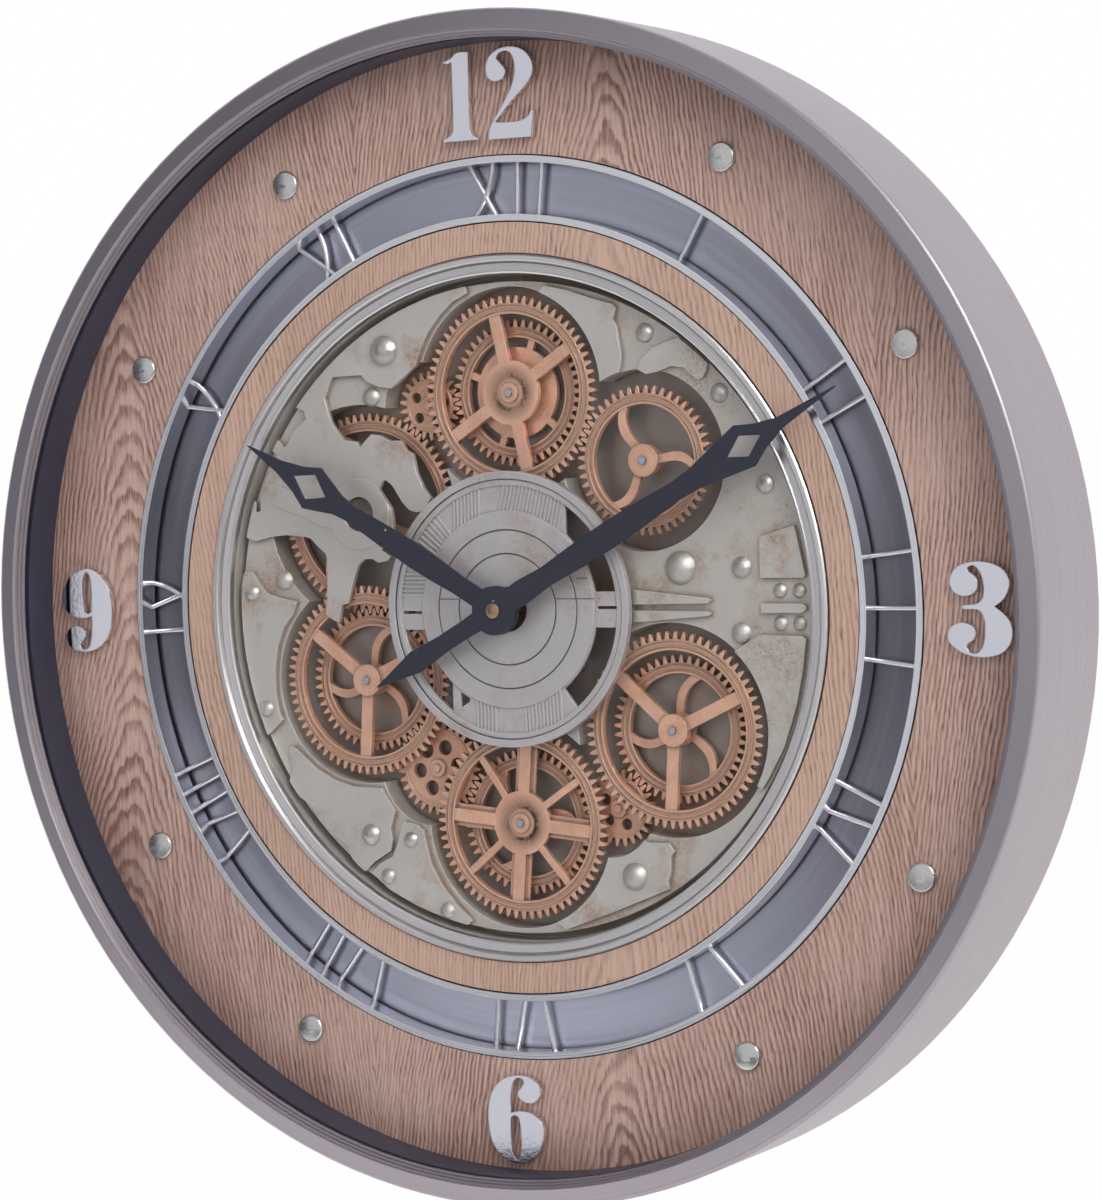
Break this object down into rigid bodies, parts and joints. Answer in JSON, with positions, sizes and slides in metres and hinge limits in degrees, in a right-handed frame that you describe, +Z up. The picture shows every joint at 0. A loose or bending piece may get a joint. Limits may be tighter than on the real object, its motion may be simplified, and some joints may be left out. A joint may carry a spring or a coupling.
{
  "type": "gear wall clock",
  "caption": "Round drum wall clock with a wooden dial, mirror numerals, a recessed ring of Roman strokes and an open train of turning copper wheels.",
  "frame": {"origin": "on the axis of the hands, in the plane of the wall behind the clock", "axes": "face towards -Y, +X to the viewer's right, +Z up"},
  "size_m": [0.6014, 0.076, 0.6014],
  "materials": {
    "pewter_case": "brushed pewter lacquer",
    "dark_liner": "matt midnight blue",
    "clear_glass": "clear float glass",
    "black_rubber": "matt",
    "oak_outer": "grey-brown ash veneer, satin",
    "oak_inner": "warm ash veneer, satin",
    "mirror_metal": "polished",
    "bright_metal": "satin chrome",
    "channel_grey": "satin blue-grey",
    "aged_silver": "aged silver with ochre staining",
    "resin_silver": "silver painted resin with ochre staining",
    "copper_wheel": "aged copper with dark rubbing",
    "steel": "bright turned steel",
    "hand_black": "satin blue-black",
    "brass": "turned brass",
    "black_plastic": "fine grain",
    "pale_plastic": "smooth",
    "red_plastic": "gloss",
    "fibreboard": "dark painted fibreboard",
    "cell_jacket": "plain printed jacket"
  },
  "bodies": {
    "clock_case": {"case_ring": "pewter_case", "inner_liner": "dark_liner", "front_glass": "clear_glass", "glass_gasket": "black_rubber", "dial_outer": "oak_outer", "numeral_12": "mirror_metal", "numeral_3": "mirror_metal", "numeral_6": "mirror_metal", "numeral_9": "mirror_metal", "hour_studs": "mirror_metal", "roman_ring": "bright_metal", "channel_tray": "channel_grey", "dial_inner": "oak_inner", "movement_bezel": "bright_metal", "base_pan": "aged_silver", "plate_upper_left": "aged_silver", "plate_top_right": "aged_silver", "plate_right": "aged_silver", "plate_lower_right": "aged_silver", "plate_lower_left": "aged_silver", "plate_left": "aged_silver", "plate_backing": "resin_silver", "pillars": "steel", "rivets": "aged_silver", "centre_disc": "aged_silver", "centre_bush": "brass", "centre_nut": "brass", "quartz_housing": "black_plastic", "aa_cells": "cell_jacket", "gear_motor": "steel", "gear_battery_box": "black_plastic", "back_panel": "fibreboard", "service_cover": "black_plastic", "keyhole_hanger": "steel", "back_screws": "steel"},
    "top_gear": {"top_wheel_front": "copper_wheel", "top_wheel_rear": "copper_wheel", "top_arbor": "steel"},
    "upper_right_gear": {"upper_right_wheel": "copper_wheel", "upper_right_arbor": "steel"},
    "upper_left_pinion": {"upper_left_pinion": "copper_wheel"},
    "upper_left_gear": {"upper_left_wheel": "copper_wheel", "upper_left_arbor": "steel"},
    "left_gear": {"left_wheel_front": "copper_wheel", "left_wheel_rear": "copper_wheel", "left_arbor": "steel"},
    "lower_left_pinion": {"lower_left_pinion": "copper_wheel"},
    "bottom_gear": {"bottom_wheel_front": "copper_wheel", "bottom_wheel_rear": "copper_wheel", "bottom_arbor": "steel"},
    "lower_right_pinion": {"lower_right_pinion": "copper_wheel"},
    "lower_right_gear": {"lower_right_wheel_front": "copper_wheel", "lower_right_wheel_rear": "copper_wheel", "lower_right_arbor": "steel"},
    "minute": {"minute_hand": "hand_black", "minute_arbor": "brass"},
    "hour": {"hour_hand": "hand_black", "hour_pipe": "brass"},
    "setting_knob": {"time_set_knob": "pale_plastic"},
    "motor_switch": {"slide_switch": "red_plastic"}
  },
  "joints": [
    {"name": "top_spin", "type": "hinge", "parent": "clock_case", "child": "top_gear", "pos_m": [0, -0.0275, 0.10995], "axis": [0, -1, 0], "continuous": true},
    {"name": "upper_right_spin", "type": "hinge", "parent": "clock_case", "child": "upper_right_gear", "pos_m": [0.07588, -0.0275, 0.07392], "axis": [0, -1, 0], "continuous": true},
    {"name": "upper_left_pinion_spin", "type": "hinge", "parent": "clock_case", "child": "upper_left_pinion", "pos_m": [-0.05225, -0.0275, 0.10483], "axis": [0, -1, 0], "continuous": true},
    {"name": "upper_left_spin", "type": "hinge", "parent": "clock_case", "child": "upper_left_gear", "pos_m": [-0.09091, -0.0275, 0.0495], "axis": [0, -1, 0], "continuous": true},
    {"name": "left_spin", "type": "hinge", "parent": "clock_case", "child": "left_gear", "pos_m": [-0.09045, -0.0275, -0.0375], "axis": [0, -1, 0], "continuous": true},
    {"name": "lower_left_pinion_spin", "type": "hinge", "parent": "clock_case", "child": "lower_left_pinion", "pos_m": [-0.05296, -0.0275, -0.08338], "axis": [0, -1, 0], "continuous": true},
    {"name": "bottom_spin", "type": "hinge", "parent": "clock_case", "child": "bottom_gear", "pos_m": [0, -0.0275, -0.10995], "axis": [0, -1, 0], "continuous": true},
    {"name": "lower_right_pinion_spin", "type": "hinge", "parent": "clock_case", "child": "lower_right_pinion", "pos_m": [0.05336, -0.0275, -0.10166], "axis": [0, -1, 0], "continuous": true},
    {"name": "lower_right_spin", "type": "hinge", "parent": "clock_case", "child": "lower_right_gear", "pos_m": [0.08895, -0.0275, -0.06105], "axis": [0, -1, 0], "continuous": true},
    {"name": "minute_turn", "type": "hinge", "parent": "clock_case", "child": "minute", "pos_m": [0, -0.057, 0], "axis": [0, -1, 0], "continuous": true},
    {"name": "hour_turn", "type": "hinge", "parent": "clock_case", "child": "hour", "pos_m": [0, -0.054, 0], "axis": [0, -1, 0], "continuous": true},
    {"name": "knob_turn", "type": "hinge", "parent": "clock_case", "child": "setting_knob", "pos_m": [0, -0.002, -0.0168], "axis": [0, -1, 0], "continuous": true},
    {"name": "switch_slide", "type": "slide", "parent": "clock_case", "child": "motor_switch", "axis": [1, 0, 0], "range_m": [0, 0.004]}
  ],
  "couplings": [
    {"joint": "upper_right_spin", "follows": "top_spin", "ratio": -1.3333},
    {"joint": "upper_left_pinion_spin", "follows": "top_spin", "ratio": -2.1818},
    {"joint": "upper_left_spin", "follows": "top_spin", "ratio": 0.70588},
    {"joint": "left_spin", "follows": "top_spin", "ratio": -1},
    {"joint": "lower_left_pinion_spin", "follows": "top_spin", "ratio": 1.5484},
    {"joint": "bottom_spin", "follows": "top_spin", "ratio": -1},
    {"joint": "lower_right_pinion_spin", "follows": "top_spin", "ratio": 2},
    {"joint": "lower_right_spin", "follows": "top_spin", "ratio": -1},
    {"joint": "hour_turn", "follows": "minute_turn", "ratio": 0.083333},
    {"joint": "knob_turn", "follows": "minute_turn", "ratio": 1}
  ]
}
